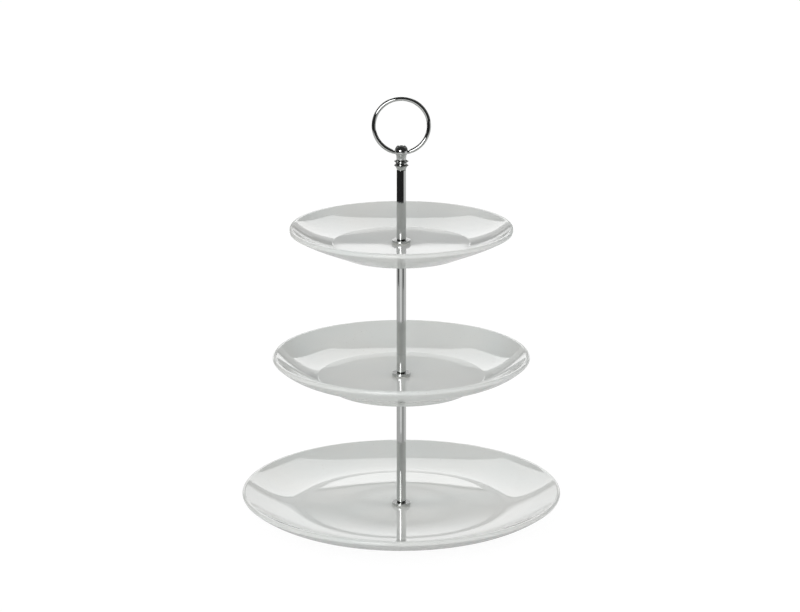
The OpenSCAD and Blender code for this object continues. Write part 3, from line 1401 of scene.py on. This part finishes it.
@dataclass(frozen=True)
class Studio:
    """The set: paper, room, lamps and the light that comes from all round.

    The cards' edges set where the bright and the dark bands end on the glaze and the chrome.
    """

    ambient: float = 0.34
    paper: Paper = field(default_factory=Paper)
    room: Room = field(default_factory=Room)
    cards: tuple[Sector | Flat, ...] = (
        # Painted shadow: a dim ring that only glossy rays see. It stands in for the paper's shade under the
        # plates' edges.
        Sector("painted_shadow_under_plates", reach=(0.077, 0.138), turn=(-180, 180), glow=0.55, height=0.0006),
        Sector("table", reach=(0.14, 0.98), turn=(-172, 66), glow=0.60),
        Sector("dark_floor", reach=(0.98, 6.5), turn=(-172, 60), glow=0.022),
        Sector("pale_floor", reach=(0.14, 6.5), turn=(60, 188), glow=0.70, height=0.011),
        Sector("glare", reach=(0.20, 0.98), turn=(-32, 10), glow=0.90, height=0.012),
        Sector("shade_right", reach=(0.14, 0.98), turn=(14, 64), glow=0.42, height=0.012),
        Sector("shade_left", reach=(0.72, 0.98), turn=(-92, -56), glow=0.07, height=0.012),
        Sector("shade_far_right", reach=(0.70, 0.98), turn=(38, 64), glow=0.12, height=0.014),
        Flat("near_white", away=0.75, rise=(0.02, 0.237), span=(-0.45, 0.45), glow=(1.25, 1.80)),
        Flat("near_fade", away=0.75, rise=(0.237, 0.273), span=(-0.45, 0.45), glow=(1.80, 0.42)),
        Flat("paper_roll", away=2.95, rise=(0.30, 0.984), span=(-0.14, 0.14), glow=(1.8, 1.8)),
        Flat("dim_left", away=4.20, rise=(1.10, 1.42), span=(-1.9, -0.55), glow=(0.62, 0.62)),
        Flat("dim_right", away=4.20, rise=(1.10, 1.42), span=(0.55, 1.9), glow=(0.62, 0.62)),
        Flat("glow_above_paper", away=4.15, rise=(1.27, 1.60), span=(-2.6, 2.6), glow=(0.30, 0.92)),
    )
    lamps: tuple[SoftBox, ...] = (
        SoftBox("back_box", turn=180, rise=36.0, away=4.2, size=(3.0, 2.325), radiance=2.17, aim=0.08),
        SoftBox("key_box", turn=-20, rise=15, away=2.5, size=(1.3, 1.0), radiance=6.5, round=True),
        SoftBox("front_fill", turn=10, rise=22, away=2.4, size=(2.2, 1.2), radiance=2.0, hidden=True),
        SoftBox("left_fill", turn=-90, rise=25, away=2.2, size=(2.0, 1.4), radiance=1.6, hidden=True),
        SoftBox("right_fill", turn=90, rise=25, away=2.2, size=(2.0, 1.4), radiance=1.6, hidden=True),
    )

    def world(self) -> None:
        """Gives the world plain white where it is seen and a soft ambient light elsewhere."""
        world = bpy.data.worlds.new("studio")
        world.use_nodes = True
        tree = world.node_tree
        background = tree.nodes["Background"]
        background.inputs["Color"].default_value = (1, 1, 1, 1)
        strength = tree.nodes.new("ShaderNodeMapRange")
        strength.inputs["To Min"].default_value = self.ambient
        strength.inputs["To Max"].default_value = 1.0
        tree.links.new(seen_directly(tree), strength.inputs["Value"])
        tree.links.new(strength.outputs["Result"], background.inputs["Strength"])
        bpy.context.scene.world = world

    def set_up(self) -> None:
        """Sets up the light and the set round the stand."""
        self.world()
        self.paper.set_up()
        self.room.set_up()
        for card in self.cards:
            card.set_up()
        for lamp in self.lamps:
            lamp.set_up()


@dataclass(frozen=True)
class StudioCamera:
    """A long lens a good way in front of the stand, looking a little down.

    The lens and the sensor's width are in millimetres.
    """

    distance: float = 2.3865
    height: float = 0.8450
    aside: float = -0.0011
    pitch: float = 15.438
    lens: float = 133.17
    sensor: float = 36

    def set_up(self) -> None:
        """Adds the camera and makes it the scene's own."""
        data = bpy.data.cameras.new("camera")
        data.lens = self.lens
        data.sensor_width = self.sensor
        camera = bpy.data.objects.new("camera", data)
        camera.location = (self.aside, -self.distance, self.height)
        camera.rotation_euler = (math.radians(90 - self.pitch), 0, 0)
        bpy.context.scene.collection.objects.link(camera)
        bpy.context.scene.camera = camera


def plates() -> list[Plate]:
    """Gives the three plates, from the lowest to the highest.

    Returns:
        The plates with the sizes in which they differ.
    """
    return [
        Plate(
            "large_plate",
            well_diameter=168 * MM,
            thickness=5.4 * MM,
            foot_diameter=150 * MM,
            foot_height=4.9 * MM,
            well_dish=1.2 * MM,
            verge_height=0.0 * MM,
            wall_slopes=(1, 29),
            under_slopes=(20, 39),
        ),
        Plate(
            "medium_plate",
            well_diameter=135 * MM,
            thickness=5.0 * MM,
            foot_diameter=121 * MM,
            foot_height=3.6 * MM,
            well_dish=0.1 * MM,
            verge_height=0.02 * MM,
            wall_slopes=(11, 41),
            under_slopes=(38, 44),
        ),
        Plate(
            "small_plate",
            well_diameter=109 * MM,
            thickness=5.0 * MM,
            foot_diameter=103 * MM,
            foot_height=3.4 * MM,
            well_dish=0.4 * MM,
            well_flat=0.1,
            verge_height=0.02 * MM,
            wall_slopes=(12.5, 35.5),
            under_slopes=(24, 31),
        ),
    ]


def main() -> None:
    """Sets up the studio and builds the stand's pieces in order."""
    logging.basicConfig(level=logging.INFO, format="%(message)s")
    StudioCamera().set_up()
    Studio().set_up()
    bpy.context.scene.view_settings.view_transform = "Standard"
    glaze = Glaze().material()
    clay = BareClay().material()
    chrome = Chrome().material()
    steel = Steel().material()
    plastic = SoftWasher().material()
    for plate in plates():
        plate.dress(glaze, clay)
    for node in ("lower_rod", "middle_rod", "upper_rod"):
        Rod(node).dress(chrome)
    for node in ("large_collar", "medium_collar", "small_collar"):
        Disc(node, Slot.CHROME).dress(chrome)
    for node in ("medium_washer", "small_washer", "base_washer"):
        Disc(node, Slot.FIXING).dress(steel)
    for size in ("large", "medium", "small"):
        Pad(f"{size}_upper_pad", Side.ABOVE).dress(plastic)
        Pad(f"{size}_lower_pad", Side.BELOW).dress(plastic)
    for node in ("lower_stud", "upper_stud"):
        Stud(node).dress(steel)
    BaseScrew().dress(steel)
    Finial().dress(chrome)
    CarryRing().dress(chrome)


if __name__ == "__main__":
    main()
